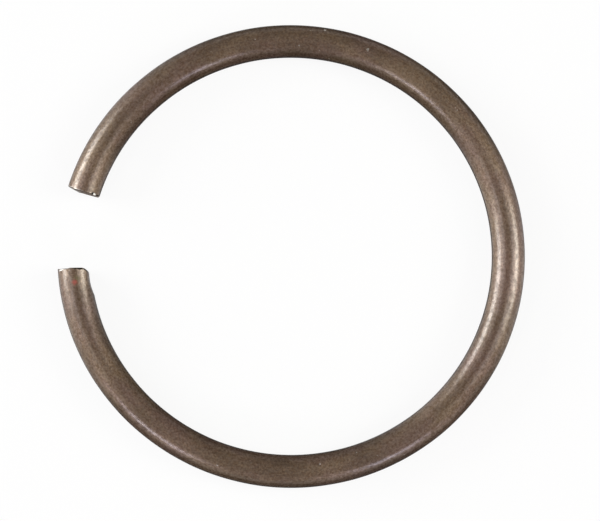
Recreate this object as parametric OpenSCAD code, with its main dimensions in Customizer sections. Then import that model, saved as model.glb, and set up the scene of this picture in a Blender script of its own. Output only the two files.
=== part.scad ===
// A round-wire retaining ring for a groove in a shaft, drawn free and unstressed. It is one length of
// spring wire coiled to a flat circle and sheared off at both ends. The ring's centre is the origin,
// the ring lies in the XY plane, and the gap between its ends faces -X.

/* [Wire] */
// Diameter of the spring wire
wire_d = 2.5; // [1.6:0.1:4]

/* [Ring] */
// Inside diameter of the ring
inner_d = 30.3; // [20:0.1:60]
// Gap straight across between the two ends, from the crest of one cut to the crest of the other
end_gap = 5.75; // [3:0.05:9]

/* [End on the +Y side] */
// Radius rolled onto the outside corner, where the blade goes in
far_roll_r = 0.05; // [0.05:0.01:0.5]
// Share of the wire that the blade cuts smoothly before the rest tears
far_land = 0.35; // [0.3:0.05:0.6]
// Lean of that smooth land, which rises to the crest of the cut, in degrees
far_lean = 10; // [0:0.5:14]
// How far the torn part lies behind the crest
far_step = 0.03; // [0.02:0.01:0.2]
// Width of the burr left at the inside corner
far_burr_w = 0.36; // [0.15:0.01:0.4]
// Height of that burr over the torn part
far_burr_h = 0.07; // [0.02:0.01:0.14]

/* [End on the -Y side] */
// Radius rolled onto the inside corner, where the blade goes in
near_roll_r = 0.5; // [0.05:0.01:0.5]
// Share of the wire that the blade cuts smoothly before the rest tears
near_land = 0.6; // [0.3:0.05:0.6]
// Lean of that smooth land, which rises to the crest of the cut, in degrees
near_lean = 2; // [0:0.5:14]
// How far the torn part lies behind the crest
near_step = 0.03; // [0.02:0.01:0.2]
// Width of the burr left at the outside corner
near_burr_w = 0.38; // [0.15:0.01:0.4]
// Height of that burr over the torn part
near_burr_h = 0.05; // [0.02:0.01:0.14]
// Depth to which the cutting tool pressed the inside of the wire next to this end
press_depth = 0.17; // [0.05:0.01:0.3]
// Radius of that pressed hollow, seen along the ring's axis
press_r = 4.2; // [3:0.1:9]
// How far the hollow's deepest point lies behind the end
press_back = 0.5; // [0.2:0.05:1]

/* [Hidden] */
$fn = 128;

// Radius of the wire's centre line, and half the angle that the gap takes out of it
mid_r = (inner_d + wire_d) / 2;
half_gap_angle = asin(end_gap / 2 / mid_r);

// The tear drops behind the land over this share of the wire
tear_share = 0.06;

// Each end's cut reaches past the middle of the gap, and past the wire on both sides of it
cut_depth = end_gap * 0.6;
cut_margin = wire_d / 2 + end_gap / 4;
cut_height = wire_d * 2;

// What a shear takes away at one end, seen along the ring's axis. x runs across the wire, from the skin
// where the blade goes in to the skin where the metal tears off. y runs out of the end into the gap, and
// is 0 at the crest of the cut, where the land ends. skin_x is where the first skin lies at the end.
module shear_outline(skin_x, roll_r, land, lean, step, burr_w, burr_h) {
    land_w = wire_d * land;
    tear_w = wire_d * tear_share;
    burr_x = wire_d - burr_w;

    // Everything in front of the land, the step and the torn part, up to the foot of the burr
    polygon([
        [-cut_margin, -(land_w + cut_margin) * tan(lean)],
        [land_w, 0],
        [land_w + tear_w, -step],
        [burr_x, -step],
        [burr_x, cut_depth],
        [-cut_margin, cut_depth],
    ]);

    // The burr stands at the skin where the metal tore, hollow on its face and cut off at its lip
    scoop_r = (burr_w * burr_w + burr_h * burr_h) / (2 * burr_h);
    intersection() {
        translate([burr_x, scoop_r - step]) circle(r = scoop_r);
        translate([burr_x - burr_w / 2, -step]) square([burr_w * 2, burr_h * 2]);
    }
    translate([burr_x - burr_w / 2, burr_h - step])
        square([burr_w * 1.5 + cut_margin, cut_depth + step - burr_h]);

    // The corner where the blade goes in is rolled over, tangent to the skin and to the land
    roll_x = skin_x + roll_r;
    roll_y = (roll_x - land_w) * tan(lean) - roll_r / cos(lean);
    difference() {
        translate([-cut_margin, roll_y])
            square([cut_margin + roll_x - roll_r * sin(lean), roll_r - roll_y]);
        translate([roll_x, roll_y]) circle(r = roll_r);
    }
}

// The hollow that the cutting tool pressed into the skin where the blade goes in, in the same outline
module pressed_outline() {
    translate([press_depth - press_r, -press_back]) circle(r = press_r);
}

// Takes one end's outline through the wire. side is 1 for the end on the +Y side and -1 for the other.
// The blade goes in at the outside of the ring on the +Y side, and at the inside on the other.
module sheared_off(side) {
    rotate(180 - side * half_gap_angle)
        translate([mid_r + side * wire_d / 2, 0])
            mirror(side > 0 ? [1, 0, 0] : [0, 1, 0])
                linear_extrude(height = cut_height, center = true)
                    children();
}

module ring() {
    color([0.41, 0.34, 0.29]) difference() {
        rotate_extrude()
            translate([mid_r, 0]) circle(d = wire_d);
        sheared_off(1)
            shear_outline(0, far_roll_r, far_land, far_lean, far_step, far_burr_w, far_burr_h);
        sheared_off(-1) {
            shear_outline(press_depth, near_roll_r, near_land, near_lean, near_step, near_burr_w,
                near_burr_h);
            pressed_outline();
        }
    }
}

ring();
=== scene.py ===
"""Dresses a round-wire retaining ring: drawn spring wire, coiled flat, sheared off at both ends and left
under a thin skin of oiled phosphate. It is laid out as an add-on and run as a script, in metres."""

import math
from typing import NamedTuple

import bpy
import numpy as np
from bpy.props import FloatProperty, FloatVectorProperty, IntProperty, PointerProperty
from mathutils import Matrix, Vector, noise


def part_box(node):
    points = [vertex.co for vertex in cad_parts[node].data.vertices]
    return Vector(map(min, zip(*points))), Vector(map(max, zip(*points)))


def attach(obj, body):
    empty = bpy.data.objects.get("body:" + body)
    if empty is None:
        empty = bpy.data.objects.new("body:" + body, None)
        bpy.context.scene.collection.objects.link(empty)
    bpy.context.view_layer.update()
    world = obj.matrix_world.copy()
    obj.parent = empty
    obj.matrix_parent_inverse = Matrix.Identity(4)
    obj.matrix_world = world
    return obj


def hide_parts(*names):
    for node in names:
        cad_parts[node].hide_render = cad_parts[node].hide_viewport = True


bl_info = {
    "name": "Round Wire Retaining Ring",
    "version": (1, 0, 0),
    "blender": (4, 5, 0),
    "location": "View3D > Sidebar > Retaining Ring",
    "description": "Builds a sheared round-wire retaining ring with a phosphate skin, and its studio",
    "category": "Object",
}

MM = 0.001

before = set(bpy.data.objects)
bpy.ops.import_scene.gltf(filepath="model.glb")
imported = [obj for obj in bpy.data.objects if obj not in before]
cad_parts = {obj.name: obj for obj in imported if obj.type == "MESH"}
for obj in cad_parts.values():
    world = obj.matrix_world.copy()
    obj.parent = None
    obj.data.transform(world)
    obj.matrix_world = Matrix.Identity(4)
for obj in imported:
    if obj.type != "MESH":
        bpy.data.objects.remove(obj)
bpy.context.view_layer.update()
CAD_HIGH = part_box("ring")[1]

# The wire's radius and the radius of its centre line, both read off the solid
WIRE_R = CAD_HIGH.z
MID_R = CAD_HIGH.x - WIRE_R

# The two ends: 1 is the one on the +Y side, where the blade went in at the outside of the ring
FAR, NEAR = 1, -1


def length(name, description, millimetres):
    """A length that the user sets, with its default in millimetres."""
    return FloatProperty(
        name=name, description=description, default=millimetres * MM, min=0.0,
        precision=5, unit="LENGTH")


def share(name, description, default):
    """A plain factor between 0 and 1."""
    return FloatProperty(
        name=name, description=description, default=default, min=0.0, max=1.0, subtype="FACTOR")


def place_across(name, default):
    """A place across the wire."""
    return FloatProperty(
        name=name, description="-1 inside to 1 outside", default=default, min=-1.0, max=1.0,
        subtype="FACTOR")


def angle(name, description, degrees):
    """An angle, with its default in degrees."""
    return FloatProperty(
        name=name, description=description, default=math.radians(degrees), subtype="ANGLE")


def colour(name, description, default):
    """A linear colour."""
    return FloatVectorProperty(
        name=name, description=description, default=default, size=3, min=0.0, max=1.0,
        subtype="COLOR")


class WireSizes(bpy.types.PropertyGroup):
    """The coiled wire, apart from its two cut ends."""
    end_gap: length("Gap", "Gap between the crests of the two cuts", 5.75)
    out_of_round: length("Out of round", "How much further the ring reaches along the gap's axis", 0.07)
    waviness: length("Waviness", "How far the wire wanders in and out as it was coiled", 0.006)
    edge_round: length("Edge round", "Radius rubbed onto the edge round each cut", 0.03)
    row_step: length("Row step", "Distance between two rows of vertices along the wire", 0.2)
    end_reach: length("End reach", "Length of wire next to each cut that has closer rows", 3.0)
    end_rows: IntProperty(name="End rows", description="Rows along that length", default=30, min=4)
    columns: IntProperty(name="Columns", description="Vertices round the wire", default=128, min=16)
    face_rings: IntProperty(
        name="Face rings", description="Rings of vertices on each cut", default=24, min=4)


class FarCutSizes(bpy.types.PropertyGroup):
    """The cut on the +Y side, where the blade went in at the outside of the ring."""
    roll_radius: length("Roll-over", "Radius rolled onto the corner where the blade went in", 0.05)
    land: share("Land", "Share of the wire that was cut smoothly before the rest tore", 0.35)
    lean: angle("Lean", "Lean of the smooth land", 10)
    step: length("Step", "How far the torn part lies behind the crest of the cut", 0.03)
    burr_width: length("Burr width", "Width of the burr at the skin where the metal tore", 0.36)
    burr_height: length("Burr height", "Height of the burr over the torn part", 0.07)
    lip_round: length("Lip round", "Radius rubbed onto the lip of the burr", 0.24)


class NearCutSizes(bpy.types.PropertyGroup):
    """The cut on the -Y side, where the blade went in at the inside of the ring."""
    roll_radius: length("Roll-over", "Radius rolled onto the corner where the blade went in", 0.5)
    land: share("Land", "Share of the wire that was cut smoothly before the rest tore", 0.6)
    lean: angle("Lean", "Lean of the smooth land", 2)
    step: length("Step", "How far the torn part lies behind the crest of the cut", 0.03)
    burr_width: length("Burr width", "Width of the burr at the skin where the metal tore", 0.38)
    burr_height: length("Burr height", "Height of the burr over the torn part", 0.05)
    lip_round: length("Lip round", "Radius rubbed onto the lip of the burr", 0.02)
    press_depth: length("Press depth", "Depth of the hollow that the tool pressed into the inside", 0.17)
    press_radius: length("Press radius", "Radius of that hollow, seen along the ring's axis", 4.2)
    press_back: length("Press back", "How far its deepest point lies behind the cut", 0.5)


class TearLook(bpy.types.PropertyGroup):
    """How the metal tore behind each blade."""
    drop: share("Drop", "Share of the wire over which the tear drops behind the land", 0.06)
    rough: length("Roughness", "Height of the grains on the torn part", 0.014)
    grain: length("Grain", "Size of those grains", 0.11)
    ragged: share("Ragged burr", "How much the burr's height wanders along its lip", 0.2)
    far_reach: length("Far wear", "Width of the bare line along the edge of the far cut's land", 0.07)
    near_reach: length("Near wear", "Width of the bare line on the near cut's burr", 0.15)
    least_reach: length("Least wear", "Width of the bare line along the other edges", 0.012)
    # Painted shade: widths of a near-black band along the cuts' edges
    edge_shade: length("Edge shade", "Width of the painted shade on the near end's inside and the far end's burr", 0.1)
    least_edge_shade: length("Least soot", "Width of the painted shade along the other edges", 0.025)


class FinishColours(bpy.types.PropertyGroup):
    """Colours of the skin, of the bare metal and of the specks on them."""
    skin_dark: colour("Dark skin", "Phosphate where it is thick and oily", (0.116, 0.071, 0.041))
    skin_light: colour("Light skin", "Phosphate where it is thin", (0.181, 0.118, 0.069))
    skin_red: colour("Reddish skin", "Phosphate with a trace of rust in it", (0.172, 0.100, 0.078))
    stain: colour("Oil stain", "Yellowed oil next to the red fleck", (0.150, 0.120, 0.045))
    bare: colour("Bare steel", "Steel with the skin rubbed or cut off", (0.46, 0.42, 0.38))
    bright: colour("Bright steel", "Freshly chipped steel", (0.92, 0.90, 0.86))
    # Painted shade: the flanks and the rim are multiplied by this tone
    flank_shade: colour("Flank shade tone", "Painted shade: what is left of the colour on the flanks and the rim", (0.5, 0.52, 0.55))
    # Painted shade: a wide stretch of skin is multiplied by this tone
    shade_patch_tone: colour("Shade patch tone", "Painted shade: what is left of the colour on the darker stretch", (0.84, 0.84, 0.85))
    cut_dark: colour("Dark cut", "Blackened steel on the cut faces", (0.085, 0.067, 0.054))
    cut_light: colour("Light cut", "Cut faces where the black is thin", (0.240, 0.186, 0.144))
    # Painted shade: near black for the band along the cuts' edges, also used in the dark chip
    edge_shade: colour("Shade black", "Shade black in the chip and behind the cuts", (0.012, 0.009, 0.008))
    paint: colour("Paint fleck", "Red fleck left by a marker", (0.42, 0.10, 0.09))
    shine: colour("Low shine", "What the skin and the cuts reflect at a low angle", (0.14, 0.12, 0.11))


class SkinLook(bpy.types.PropertyGroup):
    """How the phosphate and its oil lie on the wire."""
    rust: share("Rust", "How far the rusty patches take the reddish colour", 0.6)
    lines: share("Draw lines", "Share of the draw lines in the fine grain, beside the crystals", 0.2)
    grain: share("Grain", "How much the fine grain lightens and darkens the skin", 0.38)
    smears: share("Smears", "How much the smears of oil lighten and darken it", 0.08)
    stain: share("Stain", "How far the oil stain hides the skin", 0.7)
    paint: share("Paint", "How far the red fleck hides the skin", 0.62)
    metal: share("Metal", "How metallic the skin looks", 0.6)
    dry_rough: share("Dry roughness", "Roughness where the oil isn't smeared", 0.56)
    oily_rough: share("Oily roughness", "Roughness where it is", 0.42)
    least_film: share("Least film", "Weight of the oil's film where it isn't smeared", 0.62)
    film_rough: share("Film roughness", "Roughness of that film", 0.3)
    film_ior: FloatProperty(
        name="Film index", description="Refractive index of that film", default=1.8, min=1.0)
    specular: share("Specular", "Strength of the shine under that film", 0.2)
    bump: share("Bump", "Strength of the grain's relief", 0.7)
    relief: length("Relief", "Depth of that relief", 0.03)


class CutLook(bpy.types.PropertyGroup):
    """How the two cut faces look."""
    metal: share("Metal", "How metallic the blackened steel looks", 0.5)
    land_rough: share("Land roughness", "Roughness of the smooth land", 0.38)
    torn_rough: share("Torn roughness", "Roughness of the torn part", 0.62)
    bump: share("Bump", "Strength of the relief of streaks and torn grains", 0.7)
    relief: length("Relief", "Depth of that relief", 0.02)


class SpotPlaces(bpy.types.PropertyGroup):
    """Where the single marks sit, by their angle round the ring and their place across the wire."""
    paint_angle: angle("Paint angle", "Angle of the red fleck round the ring", 193.94)
    paint_across: place_across("Paint across", 0.025)
    paint_radius: length("Paint radius", "Radius of the red fleck", 0.3)
    stain_angle: angle("Stain angle", "Angle of the oil stain next to it", 192.95)
    stain_across: place_across("Stain across", -0.16)
    stain_radius: length("Stain radius", "Radius of that stain", 0.34)
    chip_angle: angle("Chip angle", "Angle of the chip by the inner burr", 170.2)
    chip_across: place_across("Chip across", -0.65)
    chip_radius: length("Chip radius", "Radius of the dark chip", 0.3)
    fleck_angle: angle("Fleck angle", "Angle of the bright fleck in the chip", 169.65)
    fleck_across: place_across("Fleck across", -0.70)
    fleck_radius: length("Fleck radius", "Radius of that fleck", 0.15)
    # Painted shade: the middle and the size of a wide, darker stretch of skin
    shade_patch_angle: angle("Shade patch angle", "Angle of the middle of the painted shade patch", 304)
    shade_patch_across: place_across("Shade patch across", -0.4)
    shade_patch_radius: length("Shade patch radius", "Radius of that stretch", 5.0)


class Nick(NamedTuple):
    """A pale nick in the skin: its angle round the ring in degrees, its place across the wire from -1
    inside to 1 outside, and its radius in millimetres."""
    angle: float
    across: float
    radius: float


NICKS = (
    Nick(88.1, 0.74, 0.14),
    Nick(106.1, 0.13, 0.06),
    Nick(76.1, 0.17, 0.14),
    Nick(94.5, -0.42, 0.07),
    Nick(88.8, -0.56, 0.07),
    Nick(284.5, -0.37, 0.08),
    Nick(257.4, 0.34, 0.06),
    Nick(274.7, 0.71, 0.06),
    Nick(295.0, -0.56, 0.06),
    Nick(169.55, -0.42, 0.05),
)


class StudioSizes(bpy.types.PropertyGroup):
    """Camera, floor, and the light of the walls and the ceiling."""
    turn: angle("Turn", "Azimuth of the camera", 6.66)
    tilt: angle("Tilt", "How far the camera leans from straight above", 3.5)
    lens: FloatProperty(
        name="Lens", description="Focal length in millimetres", default=180.0, min=1.0, unit="CAMERA")
    picture_width: length("Picture width", "Width of what the camera sees at the ring", 45.5)
    floor_colour: colour("Floor", "Pale floor", (0.88, 0.88, 0.88))
    floor_size: length("Floor size", "Side of the square floor", 900.0)
    floor_glow: share("Floor glow", "Share of the floor's white that its shadow doesn't reach", 0.9)
    ambient: share("Ambient", "Light that comes from the ceiling, where 1 is white", 0.215)
    sweep: angle("Sweep", "How far the white sweep rises above the floor", 7)
    bright_side: angle("Bright side", "Azimuth of the ceiling's brighter side", 160)
    ceiling_lean: share("Ceiling lean", "How much brighter the ceiling is on that side", 0.5)
    dark_side: angle("Dark side", "Azimuth of the side that no window lights", 100)
    dark_share: share("Dark share", "What that side keeps of its light", 0.5)


# Pixel sizes of the picture that the camera is set for, and where the ring's centre stands in it
PICTURE_PX = (600, 521)
CENTRE_PX = (291.1, 255.5)

# Rounds in which the edge of a cut and the skin that it meets settle on each other
SETTLE_ROUNDS = 8

# Power by which the rows crowd together next to a cut, where 1 is even spacing
ROW_CROWDING = 1.6

# Steps in which the rubbed edge round a cut is bent
EDGE_STEPS = 4

# Angles in radians, past and behind the near end's plane, between which the skin can be pressed in
PRESSED_ANGLES = (-0.2, 0.5)

# Size of the noise that makes a burr's lip ragged, in grains of the torn part, and its row in that noise
LIP_WAVE = 2.4
LIP_ROW = 7

# The far cut's bare line is full up to this share of the wire past its land. At this many times that
# place's distance from the skin where the blade went in it is gone.
PAST_LAND = 0.14
LAND_FADE = 1.1

# The near cut's bare line begins this far before its burr. Next to the burr's own skin it is gone at the
# first distance and full at the second.
BURR_LEAD = 0.1 * MM
BURR_FADE = (0.03 * MM, 0.12 * MM)

# Places across the wire where the painted shade along the cuts' edges is gone and where it is full, in
# wire radii from the skin where the blade went in
NEAR_SHADE_SKIN = (0.14, 0.34)
NEAR_SHADE_MIDDLE = (1.1, 0.8)
FAR_SHADE_BURR = (1.45, 1.6)

# The waves that coiling leaves round the ring: their number, their phase and their share of the waviness
COIL_WAVES = ((7, 0.4, 0.5), (17, 1.9, 0.3), (29, 4.2, 0.2))


def half_gap_angle(wire):
    """Half the angle that the gap takes out of the ring."""
    return math.asin(wire.end_gap / 2 / MID_R)


def skin_radius(side):
    """Radius of the skin where that end's blade went in."""
    return MID_R + side * WIRE_R


def noise_at(*axes):
    """Smooth noise between -1 and 1 at each point of some equal arrays."""
    return np.array([noise.noise(Vector(point)) for point in zip(*axes)])


def pressed_depth(cut, side, out):
    """Depth of the pressed hollow at places that lie out from the end, which are negative on the wire."""
    if side == FAR:
        return np.zeros_like(out)
    skin = skin_radius(side)
    behind = np.clip(out + cut.press_back, -cut.press_radius, cut.press_radius)
    hollow = cut.press_depth - cut.press_radius + np.sqrt(cut.press_radius ** 2 - behind ** 2)
    bend = skin - np.sqrt(np.clip(skin ** 2 - out ** 2, 0, None))
    return np.clip(hollow + bend, 0, None)


def pressed_in(cut, side, radius, out):
    """Moves the skin inwards where the tool pressed it, and squeezes what lies behind it, down to twice
    the hollow's depth. Where nothing is pressed, nothing moves."""
    depth = pressed_depth(cut, side, out)
    inward = side * (skin_radius(side) - radius)
    never_zero = np.maximum(4 * depth, 1e-9)
    squeezed = depth + inward ** 2 / never_zero
    inward = np.where(inward < 2 * depth, squeezed, inward)
    return skin_radius(side) - side * inward


def cut_profile(cut, tear, side, across, up):
    """How far the cut stands out into the gap. across runs from the skin where the blade went in to the
    skin where the metal tore, up along the ring's axis. 0 is the crest of the cut."""
    wire_d = 2 * WIRE_R
    land = wire_d * cut.land
    burr = wire_d - cut.burr_width
    skin = cut.press_depth if side == NEAR else 0.0

    # The leaning land, then the step down to the torn part
    dropped = np.clip((across - land) / (wire_d * tear.drop), 0, 1)
    out = np.minimum(across - land, 0) * math.tan(cut.lean) - cut.step * dropped

    # Grains on the torn part
    grains = noise_at(across / tear.grain, up / tear.grain, np.full_like(up, side))
    out = out + tear.rough * grains * dropped

    # The burr, hollow on its face, with a lip that wanders
    scoop = (cut.burr_width ** 2 + cut.burr_height ** 2) / (2 * cut.burr_height)
    rise = scoop - np.sqrt(np.clip(scoop ** 2 - np.clip(across - burr, 0, None) ** 2, 0, None))
    lip_row = np.full_like(up, LIP_ROW * side)
    lip = 1 + tear.ragged * noise_at(up / (LIP_WAVE * tear.grain), lip_row, np.zeros_like(up))
    out = out + np.minimum(rise, cut.burr_height) * lip
    at_lip = np.clip(across - wire_d + cut.lip_round, 0, cut.lip_round)
    out = out - cut.lip_round + np.sqrt(cut.lip_round ** 2 - at_lip ** 2)

    # The rolled corner, tangent to the land and to the skin
    roll = cut.roll_radius
    roll_across = skin + roll
    roll_out = (roll_across - land) * math.tan(cut.lean) - roll / math.cos(cut.lean)
    curve = roll_out + np.sqrt(np.clip(roll ** 2 - (across - roll_across) ** 2, 0, None))
    return np.where(across < roll_across - roll * math.sin(cut.lean), curve, out)


def end_corners(wire, cut, tear, side, turn):
    """For each column round the wire, the radius at which it meets the cut and how far past the end's
    plane that is, as an angle. turn is the column's angle round the wire."""
    skin = skin_radius(side)
    plain = MID_R + WIRE_R * np.cos(turn)
    up = WIRE_R * np.sin(turn)
    radius = plain.copy()
    past = np.zeros_like(turn)
    for _ in range(SETTLE_ROUNDS):
        across = side * (skin - radius * np.cos(past))
        out = cut_profile(cut, tear, side, across, up) - wire.edge_round
        radius = pressed_in(cut, side, plain, out)
        past = np.arcsin(out / radius)
    return radius, past


def row_shares(wire, whole):
    """Where the rows lie along the wire, from 0 to 1, closer together next to each cut."""
    step = np.linspace(0, 1, wire.end_rows + 1)
    start = wire.end_reach * step ** ROW_CROWDING
    count = max(int(round((whole - 2 * wire.end_reach) / wire.row_step)), 1)
    middle = np.linspace(wire.end_reach, whole - wire.end_reach, count + 1)[1:-1]
    return np.concatenate([start, middle, (whole - start)[::-1]]) / whole


def to_end(points, wire, side):
    """Across, out and up of points in one end's own frame."""
    at = side * (math.pi - half_gap_angle(wire))
    radial = points[..., 0] * math.cos(at) + points[..., 1] * math.sin(at)
    out = side * (points[..., 1] * math.cos(at) - points[..., 0] * math.sin(at))
    return side * (skin_radius(side) - radial), out, points[..., 2]


def from_end(across, out, up, wire, side):
    """The reverse of to_end."""
    at = side * (math.pi - half_gap_angle(wire))
    radial = skin_radius(side) - side * across
    x = radial * math.cos(at) - side * out * math.sin(at)
    y = radial * math.sin(at) + side * out * math.cos(at)
    return np.stack([x, y, up], axis=-1)


def skin_points(wire, cuts, tear):
    """Rows of points along the wire, from the near end to the far end, and their distance to a cut."""
    turn = np.linspace(0, 2 * math.pi, wire.columns, endpoint=False)
    plain = MID_R + WIRE_R * np.cos(turn)
    end_at = math.pi - half_gap_angle(wire)
    near_past = end_corners(wire, cuts[NEAR], tear, NEAR, turn)[1]
    far_past = end_corners(wire, cuts[FAR], tear, FAR, turn)[1]
    whole = 2 * end_at * MID_R
    shares = row_shares(wire, whole)[:, None]
    start = -end_at - near_past
    stop = end_at + far_past
    round_ring = start + (stop - start) * shares

    # The pressed hollow takes the wire's inside back over the last rows before the near cut
    out = -plain * np.sin(np.clip(round_ring + end_at, *PRESSED_ANGLES))
    radius = pressed_in(cuts[NEAR], NEAR, np.broadcast_to(plain, out.shape), out)
    up = np.broadcast_to(WIRE_R * np.sin(turn), radius.shape)
    points = np.stack([radius * np.cos(round_ring), radius * np.sin(round_ring), up], axis=-1)
    to_cut = np.broadcast_to(np.minimum(shares, 1 - shares) * whole, radius.shape)
    return points, to_cut


def face_points(wire, cut, tear, side, rim):
    """Rings of points on one cut, from the rubbed edge to the middle, and their distance to the edge."""
    across, _, up = to_end(rim, wire, side)
    edge_turn = np.linspace(0, math.pi / 2, EDGE_STEPS + 1)[1:]
    rounded = wire.edge_round * (1 - np.cos(edge_turn))
    inner = np.linspace(rounded[-1], WIRE_R, wire.face_rings + 1)[1:-1]
    rings, distance = [], []
    for inset in np.concatenate([rounded, inner]):
        keep = 1 - inset / WIRE_R
        ring_across = WIRE_R + keep * (across - WIRE_R)
        ring_up = keep * up
        along = min(inset / wire.edge_round, 1)
        drop = wire.edge_round * (1 - math.sqrt(1 - (1 - along) ** 2))
        out = cut_profile(cut, tear, side, ring_across, ring_up) - drop
        rings.append(from_end(ring_across, out, ring_up, wire, side))
        distance.append(np.full(wire.columns, inset))
    centre_across = np.array([WIRE_R])
    centre_out = cut_profile(cut, tear, side, centre_across, np.zeros(1))
    centre = from_end(centre_across, centre_out, np.zeros(1), wire, side)
    return np.array(rings), np.array(distance), centre


def wander(points, wire):
    """Bends the finished wire out of round and lets it wander as coiled wire does."""
    at = np.arctan2(points[:, 1], points[:, 0])
    waves = np.zeros_like(at)
    for cycles, phase, height in COIL_WAVES:
        waves += height * np.sin(cycles * at + phase)
    grow = 1 + (wire.out_of_round * np.cos(2 * at) + wire.waviness * waves) / MID_R
    return points * np.stack([grow, grow, np.ones_like(grow)], axis=-1)


def grid_faces(first, second, columns, flip):
    """Quads between two loops of vertices, given by the index of each loop's first vertex."""
    j = np.arange(columns)
    k = (j + 1) % columns
    quads = np.stack([first + j, second + j, second + k, first + k], axis=-1)
    return quads[:, ::-1] if flip else quads


def build_ring_mesh(wire, cuts, tear):
    """One closed mesh: the skin, then the near cut and the far cut."""
    skin, to_cut = skin_points(wire, cuts, tear)
    rows, columns = skin.shape[:2]
    points = [skin.reshape(-1, 3)]
    edge_distance = [to_cut.reshape(-1)]
    quads = [grid_faces(i * columns, (i + 1) * columns, columns, False) for i in range(rows - 1)]
    skin_quads = (rows - 1) * columns
    triangles = []
    used = rows * columns
    for side, rim_row in ((NEAR, 0), (FAR, rows - 1)):
        rings, distance, centre = face_points(wire, cuts[side], tear, side, skin[rim_row])
        points += [rings.reshape(-1, 3), centre]
        edge_distance += [distance.reshape(-1), np.array([WIRE_R])]
        loops = [rim_row * columns] + [used + k * columns for k in range(len(rings))]
        for outer, inner in zip(loops, loops[1:]):
            quads.append(grid_faces(outer, inner, columns, side == NEAR))
        middle = used + len(rings) * columns
        j = np.arange(columns)
        k = (j + 1) % columns
        fan = np.stack([loops[-1] + j, np.full(columns, middle), loops[-1] + k], axis=-1)
        triangles.append(fan[:, ::-1] if side == NEAR else fan)
        used = middle + 1
    points = wander(np.concatenate(points), wire)
    faces = np.concatenate(quads).tolist() + np.concatenate(triangles).tolist()
    mesh = bpy.data.meshes.new("ring_wire")
    mesh.from_pydata(points.tolist(), [], faces)
    if mesh.validate():
        raise RuntimeError("the wire's mesh has faces that don't close")
    mesh.shade_smooth()
    materials = np.ones(len(faces), dtype=np.int32)
    materials[:skin_quads] = 0
    mesh.polygons.foreach_set("material_index", materials)
    add_value(mesh, "edge_distance", np.concatenate(edge_distance) / MM)
    on_skin = np.arange(len(points)) < rows * columns
    add_value(mesh, "wear_reach", wear_reach(points, wire, cuts, tear) * on_skin / MM)
    add_value(mesh, "edge_shade_reach", edge_shade_reach(points, wire, tear) * on_skin / MM)
    add_value(mesh, "torn", torn_share(points, wire, cuts, tear))
    return mesh


def smooth_between(value, low, high):
    """0 at low, 1 at high, smooth in between."""
    share_of = np.clip((value - low) / (high - low), 0, 1)
    return share_of * share_of * (3 - 2 * share_of)


def wear_reach(points, wire, cuts, tear):
    """How far the bare metal reaches from a cut's edge: on the far land's side and on the near burr."""
    far = to_end(points, wire, FAR)[0]
    near = to_end(points, wire, NEAR)[0]
    wire_d = 2 * WIRE_R
    past_land = wire_d * (cuts[FAR].land + PAST_LAND)
    burr = wire_d - cuts[NEAR].burr_width
    on_land = smooth_between(far, past_land * LAND_FADE, past_land) * (points[:, 1] > 0)
    on_burr = smooth_between(near, burr - BURR_LEAD, burr) * (points[:, 1] < 0)
    on_burr = on_burr * smooth_between(near, wire_d - BURR_FADE[0], wire_d - BURR_FADE[1])
    return tear.least_reach + tear.far_reach * on_land + tear.near_reach * on_burr


def edge_shade_reach(points, wire, tear):
    """How far the painted shade reaches from a cut's edge: on the near end's inside and on the far end's
    burr.
    """
    far = to_end(points, wire, FAR)[0] / WIRE_R
    near = to_end(points, wire, NEAR)[0] / WIRE_R
    near_inside = smooth_between(near, *NEAR_SHADE_SKIN) * smooth_between(near, *NEAR_SHADE_MIDDLE)
    near_inside = near_inside * (points[:, 1] < 0)
    far_burr = smooth_between(far, *FAR_SHADE_BURR) * (points[:, 1] > 0)
    return tear.least_edge_shade + tear.edge_shade * np.maximum(near_inside, far_burr)


def torn_share(points, wire, cuts, tear):
    """0 where a cut is smooth, 1 where it tore."""
    torn = np.zeros(len(points))
    for side, half in ((FAR, points[:, 1] > 0), (NEAR, points[:, 1] < 0)):
        land = 2 * WIRE_R * cuts[side].land
        across = to_end(points, wire, side)[0]
        torn += half * smooth_between(across, land, land + 2 * WIRE_R * tear.drop)
    return torn


def add_value(mesh, name, values):
    """Keeps one number for each vertex, for the materials to read."""
    attribute = mesh.attributes.new(name, "FLOAT", "POINT")
    attribute.data.foreach_set("value", values.astype(np.float32))


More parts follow.
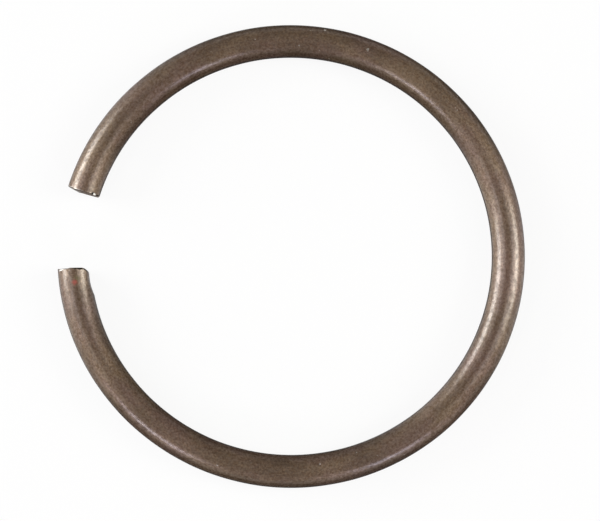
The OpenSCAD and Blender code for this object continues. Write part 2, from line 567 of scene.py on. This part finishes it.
class NodeSheet:
    """Adds nodes to one tree and joins them up."""

    def __init__(self, tree):
        self.tree = tree

    def feed(self, socket, value):
        """Links a socket to the value, or sets it where the value is no socket."""
        if isinstance(value, bpy.types.NodeSocket):
            self.tree.links.new(value, socket)
        else:
            socket.default_value = value

    def add(self, kind, settings=None, inputs=None):
        """A new node with its settings made and its inputs fed."""
        node = self.tree.nodes.new(kind)
        for name, value in (settings or {}).items():
            setattr(node, name, value)
        for name, value in (inputs or {}).items():
            self.feed(node.inputs[name], value)
        return node

    def math(self, operation, *values):
        """The result of one operation on numbers."""
        node = self.add("ShaderNodeMath", {"operation": operation})
        for socket, value in zip(node.inputs, values):
            self.feed(socket, value)
        return node.outputs[0]

    def most(self, *values):
        """The largest of some values."""
        largest = values[0]
        for value in values[1:]:
            largest = self.math("MAXIMUM", largest, value)
        return largest

    def vector_math(self, operation, first, second=None):
        """The result of one operation on vectors."""
        node = self.add("ShaderNodeVectorMath", {"operation": operation})
        self.feed(node.inputs[0], first)
        if second is not None:
            self.feed(node.inputs[1], second)
        return node.outputs["Value" if operation == "DISTANCE" else "Vector"]

    def parts(self, vector):
        """The x, y and z of a vector."""
        return self.add("ShaderNodeSeparateXYZ", None, {0: vector}).outputs

    def level_dot(self, parts, x, y):
        """The dot product of a vector, given by its parts, with a level one."""
        return self.math("ADD", self.math("MULTIPLY", parts[0], x), self.math("MULTIPLY", parts[1], y))

    def ramp(self, value, low, high, start=0.0, stop=1.0):
        """start where the value is low or less, stop where it is high or more, smooth in between."""
        node = self.add(
            "ShaderNodeMapRange", {"interpolation_type": "SMOOTHSTEP"},
            {"Value": value, "From Min": low, "From Max": high, "To Min": start, "To Max": stop})
        return node.outputs["Result"]

    def mix(self, amount, first, second, blend="MIX"):
        """first where amount is 0, second, or its blend with the first, where it is 1."""
        node = self.add("ShaderNodeMix", {"data_type": "RGBA", "blend_type": blend})
        for index, value in ((0, amount), (6, first), (7, second)):
            self.feed(node.inputs[index], value)
        return node.outputs[2]

    def noise(self, position, scale, detail=3.0, roughness=0.55, distortion=0.0):
        """Seedless noise: the same place always gives the same value."""
        node = self.add(
            "ShaderNodeTexNoise", None,
            {"Vector": position, "Scale": scale, "Detail": detail, "Roughness": roughness,
             "Distortion": distortion})
        return node.outputs[0]

    def group(self, name, inputs=None):
        """One of the node groups, with its inputs fed."""
        return self.add("ShaderNodeGroup", {"node_tree": bpy.data.node_groups[name]}, inputs)


def start_group(name, inputs, outputs):
    """An empty node group with named sockets, and its sheet, its inputs and its output node."""
    tree = bpy.data.node_groups.new(name, "ShaderNodeTree")
    for label, kind, default in inputs:
        socket = tree.interface.new_socket(name=label, in_out="INPUT", socket_type=kind)
        if default is not None:
            socket.default_value = default
    for label, kind in outputs:
        tree.interface.new_socket(name=label, in_out="OUTPUT", socket_type=kind)
    sheet = NodeSheet(tree)
    return sheet, sheet.add("NodeGroupInput").outputs, sheet.add("NodeGroupOutput").inputs


FLOAT, VECTOR = "NodeSocketFloat", "NodeSocketVector"

# Values of a noise, which lies between 0 and 1 and mostly in the middle, at which a soft mask starts and
# at which it is full
WHOLE_NOISE = (0.3, 0.7)
MIDDLE_NOISE = (0.36, 0.64)
RUST_NOISE = (0.42, 0.68)
SMEAR_NOISE = (0.36, 0.62)

# What moves the rust's noise away from that of the patches
RUST_MOVE = (41.0, 7.0, 3.0)


def unbent_wire_group():
    """Place on the wire as if it were straight, in millimetres: along it, outwards and up."""
    sheet, given, out = start_group("Unbent Wire", [("Position", VECTOR, None)], [("Place", VECTOR)])
    xyz = sheet.parts(given["Position"])
    at = sheet.math("ARCTAN2", xyz[1], xyz[0])
    radius = sheet.math("SQRT", sheet.level_dot(xyz, xyz[0], xyz[1]))
    outward = sheet.math("SUBTRACT", radius, MID_R)
    place = sheet.add("ShaderNodeCombineXYZ", None, {
        "X": sheet.math("MULTIPLY", at, MID_R / MM), "Y": sheet.math("DIVIDE", outward, MM),
        "Z": sheet.math("DIVIDE", xyz[2], MM)})
    sheet.feed(out["Place"], place.outputs[0])


def draw_lines_group():
    """Fine lines that the die left along the wire."""
    sheet, given, out = start_group(
        "Draw Lines", [("Place", VECTOR, None), ("Fineness", FLOAT, 9.0), ("Stretch", FLOAT, 0.03)],
        [("Lines", FLOAT)])
    scale = sheet.add("ShaderNodeCombineXYZ", None, {"X": given["Stretch"], "Y": 1.0, "Z": 1.0})
    drawn_out = sheet.vector_math("MULTIPLY", given["Place"], scale.outputs[0])
    sheet.feed(out["Lines"], sheet.noise(drawn_out, given["Fineness"], 4.0, 0.65))


def phosphate_group():
    """Cloudy patches, traces of rust, smears of oil and the fine crystals of a phosphate skin."""
    sheet, given, out = start_group(
        "Phosphate Grain", [("Place", VECTOR, None), ("Patch", FLOAT, 0.4), ("Crystal", FLOAT, 6.5)],
        [("Patches", FLOAT), ("Rust", FLOAT), ("Smears", FLOAT), ("Crystals", FLOAT)])
    long_patches = sheet.vector_math("MULTIPLY", given["Place"], (0.45, 1.0, 1.0))
    patches = sheet.noise(long_patches, given["Patch"], 5.0, 0.62)
    sheet.feed(out["Patches"], sheet.ramp(patches, *MIDDLE_NOISE))
    moved = sheet.vector_math("ADD", long_patches, RUST_MOVE)
    sheet.feed(out["Rust"], sheet.ramp(sheet.noise(moved, given["Patch"], 4.0, 0.6), *RUST_NOISE))
    smear = sheet.math("MULTIPLY", given["Crystal"], 0.6)
    smears = sheet.noise(given["Place"], smear, 3.0, 0.6, 0.5)
    sheet.feed(out["Smears"], sheet.ramp(smears, *SMEAR_NOISE))
    sheet.feed(out["Crystals"], sheet.noise(given["Place"], given["Crystal"], 3.0, 0.6))


def specks_group():
    """Small specks strewn over the surface, where the skin is chipped or rubbed through."""
    sheet, given, out = start_group(
        "Rubbed Specks",
        [("Place", VECTOR, None), ("Density", FLOAT, 1.2), ("Share", FLOAT, 0.12), ("Size", FLOAT, 0.1)],
        [("Mask", FLOAT)])
    bends = sheet.add("ShaderNodeTexNoise", None, {"Vector": given["Place"], "Scale": 6.0})
    bent = sheet.vector_math("ADD", given["Place"], bends.outputs["Color"])
    cells = sheet.add(
        "ShaderNodeTexVoronoi", {"feature": "F1"}, {"Vector": bent, "Scale": given["Density"]})
    picked = sheet.add("ShaderNodeSeparateColor", None, {0: cells.outputs["Color"]}).outputs
    chosen = sheet.math("LESS_THAN", picked[0], given["Share"])
    size = sheet.math("MULTIPLY", given["Size"], sheet.math("ADD", picked[1], 0.35))
    inner = sheet.math("MULTIPLY", size, 0.6)
    close = sheet.ramp(cells.outputs["Distance"], inner, size, 1.0, 0.0)
    sheet.feed(out["Mask"], sheet.math("MULTIPLY", chosen, close))


def painted_flank_shade_group():
    """Painted shade on the flanks between the ring's two flat sides: they are darkened more away from the
    gap's axis than on it, and less where they face the lit side. The rim is their outermost part, and is
    darkened too."""
    sheet, given, out = start_group(
        "Painted Flank Shade",
        [("Position", VECTOR, None), ("Wire", FLOAT, 1.0), ("From", FLOAT, 0.55), ("To", FLOAT, 0.93),
         ("Lit Side", FLOAT, math.radians(150)), ("Lit Easing", FLOAT, 0.24)],
        [("Flank", FLOAT), ("Rim", FLOAT)])
    xyz = sheet.parts(given["Position"])
    high = sheet.math("DIVIDE", sheet.math("ABSOLUTE", xyz[2]), given["Wire"])
    flank_shade = sheet.ramp(high, given["From"], given["To"], 1.0, 0.0)
    flat = sheet.vector_math("MULTIPLY", given["Position"], (1.0, 1.0, 0.0))
    aside = sheet.parts(sheet.vector_math("NORMALIZE", flat))
    radius = sheet.vector_math("DISTANCE", flat, (0.0, 0.0, 0.0))
    outer = sheet.math("SIGN", sheet.math("SUBTRACT", radius, MID_R))
    lit_side = given["Lit Side"]
    toward_lit = sheet.level_dot(aside, sheet.math("COSINE", lit_side), sheet.math("SINE", lit_side))
    lit_easing = sheet.math("MULTIPLY", sheet.math("MULTIPLY", outer, toward_lit), given["Lit Easing"])
    # How much painted shade the flanks get before the ramp: more far from the gap's axis, less where they
    # face the lit side
    oily = sheet.math("SUBTRACT", sheet.math("ABSOLUTE", aside[1]), lit_easing)

    # On the gap's axis the flanks get 0.15 of the painted shade that they get far from it
    beside = sheet.ramp(oily, 0.25, 0.85, 0.15, 1.0)
    sheet.feed(out["Flank"], sheet.math("MULTIPLY", flank_shade, beside))
    # Painted shade at the rim, the band round the wire's middle where its surface stands upright
    sheet.feed(out["Rim"], sheet.ramp(high, 0.1, 0.45, 1.0, 0.0))


def edge_band_group():
    """A band along a cut's edge, from the rim to the reach, whose far side wanders."""
    sheet, given, out = start_group(
        "Edge Band",
        [("Place", VECTOR, None), ("Distance", FLOAT, 1.0), ("Reach", FLOAT, 0.08), ("Rim", FLOAT, 0.05)],
        [("Mask", FLOAT)])
    wander_by = sheet.ramp(sheet.noise(given["Place"], 3.5), *WHOLE_NOISE, 0.5, 1.4)
    reach = sheet.math("MULTIPLY", given["Reach"], wander_by)
    inside = sheet.ramp(given["Distance"], sheet.math("MULTIPLY", reach, 0.6), reach, 1.0, 0.0)
    rim = sheet.ramp(given["Distance"], sheet.math("MULTIPLY", given["Rim"], 0.5), given["Rim"])
    sheet.feed(out["Mask"], sheet.math("MULTIPLY", inside, rim))


def spot_group():
    """One ragged spot on the wire."""
    sheet, given, out = start_group(
        "Single Spot",
        [("Position", VECTOR, None), ("Centre", VECTOR, None), ("Radius", FLOAT, 0.2),
         ("Ragged", FLOAT, 0.4), ("Core", FLOAT, 0.55)],
        [("Mask", FLOAT)])
    away = sheet.math("DIVIDE", sheet.vector_math("DISTANCE", given["Position"], given["Centre"]), MM)
    fringe = sheet.ramp(sheet.noise(given["Position"], 6.0 / MM, 2.0), *WHOLE_NOISE, -1.0, 1.0)
    growth = sheet.math("MULTIPLY_ADD", fringe, given["Ragged"], 1.0)
    edge = sheet.math("MULTIPLY", given["Radius"], growth)
    inner = sheet.math("MULTIPLY", edge, given["Core"])
    sheet.feed(out["Mask"], sheet.ramp(away, inner, edge, 1.0, 0.0))


def on_wire(at, across):
    """The point on the top half of the wire at an angle round the ring and a place across it."""
    radius = MID_R + across * WIRE_R
    up = WIRE_R * math.sqrt(1 - across ** 2)
    return (radius * math.cos(at), radius * math.sin(at), up)


def opaque(rgb):
    """A colour with full alpha, as a socket wants it."""
    return (*rgb, 1.0)


def clean_sheet(owner):
    """The sheet of a material or a world, without the nodes that it came with."""
    owner.use_nodes = True
    owner.node_tree.nodes.clear()
    return NodeSheet(owner.node_tree)


def start_material(name):
    """An empty material, and its sheet and the sockets of its Principled BSDF."""
    material = bpy.data.materials.new(name)
    sheet = clean_sheet(material)
    shader = sheet.add("ShaderNodeBsdfPrincipled")
    output = sheet.add("ShaderNodeOutputMaterial")
    sheet.feed(output.inputs["Surface"], shader.outputs[0])
    return material, sheet, shader.inputs


def surface_place(sheet):
    """The position on the ring, and its place on the unbent wire."""
    position = sheet.add("ShaderNodeTexCoord").outputs["Object"]
    return position, sheet.group("Unbent Wire", {"Position": position}).outputs["Place"]


def spot_mask(sheet, position, at, across, radius, ragged, core=0.55):
    """One spot, by its angle round the ring, its place across the wire and its radius. Its edge wanders by
    the ragged share of the radius, and the spot is full inside the core's share of it."""
    return sheet.group("Single Spot", {
        "Position": position, "Centre": on_wire(at, across), "Radius": radius / MM, "Ragged": ragged,
        "Core": core}).outputs["Mask"]


def chip_masks(sheet, position, spots):
    """The dark chip by the far end's burr, and the bright fleck in it. Both cross onto the cut."""
    chip = spot_mask(sheet, position, spots.chip_angle, spots.chip_across, spots.chip_radius, 0.25, 0.8)
    bright = spot_mask(sheet, position, spots.fleck_angle, spots.fleck_across, spots.fleck_radius, 0.3)
    return chip, bright


def mesh_value(sheet, name):
    """One of the numbers that the mesh keeps for each vertex."""
    return sheet.add("ShaderNodeAttribute", {"attribute_name": name}).outputs["Fac"]


def edge_band(sheet, place, reach_name, rim):
    """A broken band behind the edge of a cut, as wide as the mesh says, that starts at the rim."""
    band = sheet.group("Edge Band", {
        "Place": place, "Distance": mesh_value(sheet, "edge_distance"),
        "Reach": mesh_value(sheet, reach_name), "Rim": rim})
    return band.outputs["Mask"]


# How strongly the grain shows in red, green and blue: the pale grains are greyer than the dark ones
GRAIN_COLOUR = (0.82, 1.0, 1.22)

# How far behind a cut's edge the bare line and the painted edge shade are full, in millimetres
WORN_RIM = 0.02
SHADE_RIM = 0.001

# Widths of the bare line, in millimetres, at which its metal is dull and at which it is fresh
FRESH_REACH = (0.1, 0.16)


def grained(sheet, look, body, grain, lines):
    """The skin's colour, made lighter and darker by crystals, draw lines and smears."""
    part_lines = sheet.math("MULTIPLY", lines, look.lines)
    part_crystals = sheet.math("MULTIPLY", grain["Crystals"], 1 - look.lines)
    fine = sheet.math("ADD", part_lines, part_crystals)
    shade = sheet.math(
        "ADD", sheet.ramp(fine, *MIDDLE_NOISE, -look.grain, look.grain),
        sheet.ramp(grain["Smears"], 0.0, 1.0, -look.smears, look.smears))
    channels = {i: sheet.math("MULTIPLY_ADD", shade, part, 1.0) for i, part in enumerate(GRAIN_COLOUR)}
    grey = sheet.add("ShaderNodeCombineColor", None, channels).outputs[0]
    return sheet.mix(1.0, body, grey, "MULTIPLY")


def add_relief(sheet, shader, look, height):
    """Feeds the shader's normal from a height."""
    bump = sheet.add("ShaderNodeBump", None, {
        "Strength": look.bump, "Distance": look.relief, "Height": height})
    sheet.feed(shader["Normal"], bump.outputs[0])


def skin_material(look, colours, spots):
    """Oiled brown phosphate over drawn wire, with a chip, nicks, bare edges, an oil stain and one fleck of
    red paint, and painted shade along the cuts' edges, on the flanks and the rim and on one wide stretch."""
    material, sheet, shader = start_material("oiled_phosphate")
    position, place = surface_place(sheet)
    grain = sheet.group("Phosphate Grain", {"Place": place}).outputs
    lines = sheet.group("Draw Lines", {"Place": place}).outputs["Lines"]
    specks = sheet.group("Rubbed Specks", {"Place": place}).outputs["Mask"]
    worn = edge_band(sheet, place, "wear_reach", WORN_RIM)
    chip, bright = chip_masks(sheet, position, spots)
    # The dark chip, and the painted shade along the cuts' edges
    chip_and_edge_shade = sheet.most(chip, edge_band(sheet, place, "edge_shade_reach", SHADE_RIM))
    paint = spot_mask(
        sheet, position, spots.paint_angle, spots.paint_across, spots.paint_radius, 0.25, 0.15)
    stain = spot_mask(
        sheet, position, spots.stain_angle, spots.stain_across, spots.stain_radius, 0.4, 0.1)
    # Painted shade: mask of a wide, darker stretch of skin
    oil = spot_mask(sheet, position, spots.shade_patch_angle, spots.shade_patch_across, spots.shade_patch_radius, 0.3, 0.35)
    for nick in NICKS:
        at = math.radians(nick.angle)
        spot = spot_mask(sheet, position, at, nick.across, nick.radius * MM, 0.5)
        specks = sheet.most(specks, spot)

    body = sheet.mix(grain["Patches"], opaque(colours.skin_dark), opaque(colours.skin_light))
    body = sheet.mix(sheet.math("MULTIPLY", grain["Rust"], look.rust), body, opaque(colours.skin_red))
    body = grained(sheet, look, body, grain, lines)
    # Painted shade: that stretch is darkened
    body = sheet.mix(oil, body, opaque(colours.shade_patch_tone), "MULTIPLY")
    # Painted shade: the flanks are darkened, more away from the gap's axis, and the rim is darkened once
    # more
    sides = sheet.group("Painted Flank Shade", {"Position": position, "Wire": WIRE_R}).outputs
    flank_shade = sheet.most(sides["Flank"], sides["Rim"])
    body = sheet.mix(flank_shade, body, opaque(colours.flank_shade), "MULTIPLY")
    body = sheet.mix(sides["Rim"], body, opaque(colours.flank_shade), "MULTIPLY")
    metal = sheet.math("MAXIMUM", specks, worn)
    fresh = sheet.ramp(mesh_value(sheet, "wear_reach"), *FRESH_REACH)
    body = sheet.mix(metal, body, sheet.mix(fresh, opaque(colours.bare), opaque(colours.bright)))
    # Near black: painted shade along the cuts' edges, and the dark chip
    body = sheet.mix(chip_and_edge_shade, body, opaque(colours.edge_shade))
    body = sheet.mix(bright, body, opaque(colours.bright))
    body = sheet.mix(sheet.math("MULTIPLY", stain, look.stain), body, opaque(colours.stain))
    body = sheet.mix(sheet.math("MULTIPLY", paint, look.paint), body, opaque(colours.paint))
    sheet.feed(shader["Base Color"], body)

    rough = sheet.ramp(grain["Smears"], 0.0, 1.0, look.dry_rough, look.oily_rough)
    sheet.feed(shader["Roughness"], rough)
    unpainted = sheet.math("SUBTRACT", 1.0, paint)
    metallic = sheet.most(metal, bright, look.metal)
    sheet.feed(shader["Metallic"], sheet.math("MULTIPLY", unpainted, metallic))
    film = sheet.ramp(grain["Smears"], 0.0, 1.0, look.least_film, 1.0)
    filmed = sheet.math("SUBTRACT", 1.0, sheet.most(flank_shade, chip_and_edge_shade))
    filmed = sheet.math("MULTIPLY", filmed, unpainted)
    sheet.feed(shader["Coat Weight"], sheet.math("MULTIPLY", filmed, film))
    shader["Coat Roughness"].default_value = look.film_rough
    shader["Coat IOR"].default_value = look.film_ior
    shader["Specular IOR Level"].default_value = look.specular
    shader["Specular Tint"].default_value = opaque(colours.shine)

    height = sheet.math("MULTIPLY_ADD", lines, 0.25, grain["Crystals"])
    height = sheet.math("SUBTRACT", height, sheet.most(specks, chip_and_edge_shade))
    add_relief(sheet, shader, look, sheet.math("ADD", height, paint))
    return material


def cut_material(look, colours, spots):
    """The sheared faces, blackened like the skin: a land streaked by the blade, and a torn part."""
    material, sheet, shader = start_material("blackened_cut")
    position, place = surface_place(sheet)
    crystals = sheet.group("Phosphate Grain", {"Place": place, "Crystal": 11.0}).outputs["Crystals"]
    torn = mesh_value(sheet, "torn")
    swept = sheet.vector_math("MULTIPLY", place, (1.0, 0.06, 1.0))
    streaks = sheet.noise(swept, 12.0, 3.0, 0.6)
    chip, bright = chip_masks(sheet, position, spots)

    dark, light = opaque(colours.cut_dark), opaque(colours.cut_light)
    smooth_part = sheet.mix(sheet.ramp(streaks, *WHOLE_NOISE), dark, light)
    torn_part = sheet.mix(sheet.ramp(crystals, *WHOLE_NOISE), dark, light)
    body = sheet.mix(torn, smooth_part, torn_part)
    # The dark chip takes the same near black as the painted edge shade
    body = sheet.mix(chip, body, opaque(colours.edge_shade))
    body = sheet.mix(bright, body, opaque(colours.bright))
    sheet.feed(shader["Base Color"], body)
    sheet.feed(shader["Roughness"], sheet.ramp(torn, 0.0, 1.0, look.land_rough, look.torn_rough))
    shader["Metallic"].default_value = look.metal
    shader["Specular Tint"].default_value = opaque(colours.shine)

    grains = sheet.math("MULTIPLY", sheet.math("MULTIPLY", crystals, torn), 2.0)
    add_relief(sheet, shader, look, sheet.math("MULTIPLY_ADD", streaks, 0.3, grains))
    return material


def direction(azimuth, rise):
    """The way from the ring to an azimuth and a height over the floor, both angles."""
    return Vector((
        math.cos(azimuth) * math.cos(rise), math.sin(azimuth) * math.cos(rise), math.sin(rise)))


def look_back(stand, towards, away):
    """Stands a camera or a lamp that far off and turns it to the ring."""
    stand.location = towards * away
    stand.rotation_euler = (-towards).to_track_quat("-Z", "Y").to_euler()
    bpy.context.scene.collection.objects.link(stand)


def picture_axes(studio):
    """Where the camera stands from the ring, and which ways are right and up in its picture."""
    towards = direction(studio.turn - math.pi / 2, math.pi / 2 - studio.tilt)
    right = Vector((math.cos(studio.turn), math.sin(studio.turn), 0))
    return towards, right, towards.cross(right)


def add_camera(studio):
    """The camera, as far off and as far aside as puts the ring at its place in the picture."""
    towards, right, up = picture_axes(studio)
    camera = bpy.data.cameras.new("camera")
    camera.lens = studio.lens
    away = studio.picture_width * studio.lens / camera.sensor_width
    pixel = studio.picture_width / PICTURE_PX[0]
    beside = (PICTURE_PX[0] / 2 - CENTRE_PX[0]) * pixel
    below = (PICTURE_PX[1] / 2 - CENTRE_PX[1]) * pixel
    camera.clip_start = 10 * MM
    stand = bpy.data.objects.new("camera", camera)
    look_back(stand, towards, away)
    stand.location += right * beside - up * below
    bpy.context.scene.camera = stand


def background_rays(sheet):
    """1 for the rays that see the background: the camera's, and those that metal and glass send out."""
    path = sheet.add("ShaderNodeLightPath").outputs
    seen = sheet.math("MAXIMUM", path["Is Camera Ray"], path["Is Glossy Ray"])
    return sheet.math("MAXIMUM", seen, path["Is Transmission Ray"])


def add_floor(studio):
    """A pale floor that keeps the ring's shadow."""
    half = studio.floor_size / 2
    mesh = bpy.data.meshes.new("floor")
    corners = ((-half, -half), (half, -half), (half, half), (-half, half))
    mesh.from_pydata([(x, y, -WIRE_R) for x, y in corners], [], [(0, 1, 2, 3)])
    floor = bpy.data.objects.new("floor", mesh)
    bpy.context.scene.collection.objects.link(floor)
    material = bpy.data.materials.new("floor_paper")
    sheet = clean_sheet(material)
    paper = sheet.add("ShaderNodeBsdfDiffuse", None, {"Color": opaque(studio.floor_colour)})
    glow = sheet.add("ShaderNodeEmission", None, {"Color": (1, 1, 1, 1), "Strength": 1.0})
    seen = sheet.math("MULTIPLY", background_rays(sheet), studio.floor_glow)
    both = sheet.add("ShaderNodeMixShader", None, {0: seen, 1: paper.outputs[0], 2: glow.outputs[0]})
    sheet.feed(sheet.add("ShaderNodeOutputMaterial").inputs["Surface"], both.outputs[0])
    mesh.materials.append(material)


# The white sweep has faded to the ceiling at this many times its own height
SWEEP_FADE = 2.5

# Between these shares of a direction that lie towards the dark side, its light goes down
DARK_EDGE = (0.25, 0.9)


def add_world(studio):
    """A white sweep all round that fades to a dim ceiling, which is brighter on one side. Both are dimmer
    on the dark side."""
    world = bpy.data.worlds.new("studio")
    sheet = clean_sheet(world)
    xyz = sheet.parts(sheet.add("ShaderNodeTexCoord").outputs["Generated"])
    to_bright = sheet.level_dot(xyz, math.cos(studio.bright_side), math.sin(studio.bright_side))
    lean = sheet.math("MULTIPLY_ADD", to_bright, studio.ceiling_lean, 1.0)
    ceiling = sheet.math("MULTIPLY", lean, studio.ambient)
    fade = (math.sin(studio.sweep), math.sin(SWEEP_FADE * studio.sweep))
    walls = sheet.ramp(xyz[2], *fade, 1.0, ceiling)
    to_dark = sheet.level_dot(xyz, math.cos(studio.dark_side), math.sin(studio.dark_side))
    unlit = sheet.ramp(to_dark, *DARK_EDGE, 1.0, studio.dark_share)
    strength = sheet.math("MULTIPLY", walls, unlit)
    glow = sheet.add("ShaderNodeBackground", None, {"Color": (1, 1, 1, 1), "Strength": strength})
    sheet.feed(sheet.add("ShaderNodeOutputWorld").inputs["Surface"], glow.outputs[0])
    bpy.context.scene.world = world


class Softbox(NamedTuple):
    """A soft lamp: where it stands as seen from the ring and its size, in degrees, its brightness, where 1
    is white, and the colour of its light."""
    name: str
    azimuth: float
    rise: float
    width: float
    height: float
    brightness: float
    tint: tuple


SOFTBOXES = (
    Softbox("left", 170.3, 20, 38, 29, 8.7, (0.95, 0.97, 0.955)),
    Softbox("left_high", 182, 55, 24, 22, 1.9, (1.0, 1.0, 1.0)),
    Softbox("right", 8, 31.5, 21, 25, 10.3, (1.0, 0.975, 0.88)),
    Softbox("right_high", 4, 57, 24, 22, 2.2, (1.0, 1.0, 1.0)),
    Softbox("front_left", 237, 30, 17, 13, 7.7, (1.0, 0.94, 1.05)),
    Softbox("front_right", 304, 28, 13, 11, 9.6, (0.99, 0.95, 1.1)),
)

# How far the lamps stand from the ring
LAMP_AWAY = 500 * MM


def add_lamps():
    """Softboxes round the ring, which light it and show in its skin."""
    for box in SOFTBOXES:
        lamp = bpy.data.lights.new("lamp_" + box.name, "AREA")
        lamp.shape = "RECTANGLE"
        lamp.size = 2 * LAMP_AWAY * math.tan(math.radians(box.width / 2))
        lamp.size_y = 2 * LAMP_AWAY * math.tan(math.radians(box.height / 2))
        lamp.energy = box.brightness * math.pi * lamp.size * lamp.size_y
        lamp.color = box.tint
        stand = bpy.data.objects.new("lamp_" + box.name, lamp)
        stand.visible_camera = False
        look_back(stand, direction(math.radians(box.azimuth), math.radians(box.rise)), LAMP_AWAY)


class RETAINING_RING_OT_build_ring(bpy.types.Operator):
    """Builds the wire ring with its two cuts and its finish"""
    bl_idname = "retaining_ring.build_ring"
    bl_label = "Build Ring"

    def execute(self, context):
        scene = context.scene
        for make_group in (unbent_wire_group, draw_lines_group, phosphate_group, specks_group,
                           painted_flank_shade_group, edge_band_group, spot_group):
            make_group()
        cuts = {FAR: scene.ring_far_cut, NEAR: scene.ring_near_cut}
        mesh = build_ring_mesh(scene.ring_wire, cuts, scene.ring_tear)
        colours, spots = scene.ring_colours, scene.ring_spots
        mesh.materials.append(skin_material(scene.ring_skin, colours, spots))
        mesh.materials.append(cut_material(scene.ring_cut_faces, colours, spots))
        ring = bpy.data.objects.new("ring_wire", mesh)
        scene.collection.objects.link(ring)
        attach(ring, "root")
        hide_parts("ring")
        return {"FINISHED"}


class RETAINING_RING_OT_set_stage(bpy.types.Operator):
    """Sets up the floor, the world, the lamps and the camera"""
    bl_idname = "retaining_ring.set_stage"
    bl_label = "Set Stage"

    def execute(self, context):
        studio = context.scene.ring_studio
        context.scene.view_settings.view_transform = "Standard"
        add_floor(studio)
        add_world(studio)
        add_lamps()
        add_camera(studio)
        return {"FINISHED"}


class RETAINING_RING_PT_sidebar(bpy.types.Panel):
    """Lists the ring's steps and sizes"""
    bl_idname = "RETAINING_RING_PT_sidebar"
    bl_label = "Retaining Ring"
    bl_space_type = "VIEW_3D"
    bl_region_type = "UI"
    bl_category = "Retaining Ring"

    def draw(self, context):
        layout = self.layout
        layout.operator(RETAINING_RING_OT_build_ring.bl_idname)
        layout.operator(RETAINING_RING_OT_set_stage.bl_idname)
        for name, group in SETTINGS.items():
            box = layout.box()
            box.label(text=group.__doc__)
            for key in group.__annotations__:
                box.prop(getattr(context.scene, name), key)


SETTINGS = {
    "ring_wire": WireSizes,
    "ring_far_cut": FarCutSizes,
    "ring_near_cut": NearCutSizes,
    "ring_tear": TearLook,
    "ring_colours": FinishColours,
    "ring_skin": SkinLook,
    "ring_cut_faces": CutLook,
    "ring_spots": SpotPlaces,
    "ring_studio": StudioSizes,
}

CLASSES = (
    *SETTINGS.values(),
    RETAINING_RING_OT_build_ring,
    RETAINING_RING_OT_set_stage,
    RETAINING_RING_PT_sidebar,
)


def register():
    """Makes the ring's settings, steps and panel known."""
    for item in CLASSES:
        bpy.utils.register_class(item)
    for name, group in SETTINGS.items():
        setattr(bpy.types.Scene, name, PointerProperty(type=group))


def unregister():
    """Takes them away again."""
    for name in SETTINGS:
        delattr(bpy.types.Scene, name)
    for item in reversed(CLASSES):
        bpy.utils.unregister_class(item)


def plain(box):
    """A box as plain lists of numbers."""
    return [[float(value) for value in corner] for corner in box]


def main():
    """Builds the ring and its stage."""
    register()
    bpy.ops.retaining_ring.build_ring()
    bpy.ops.retaining_ring.set_stage()


if __name__ == "__main__":
    main()
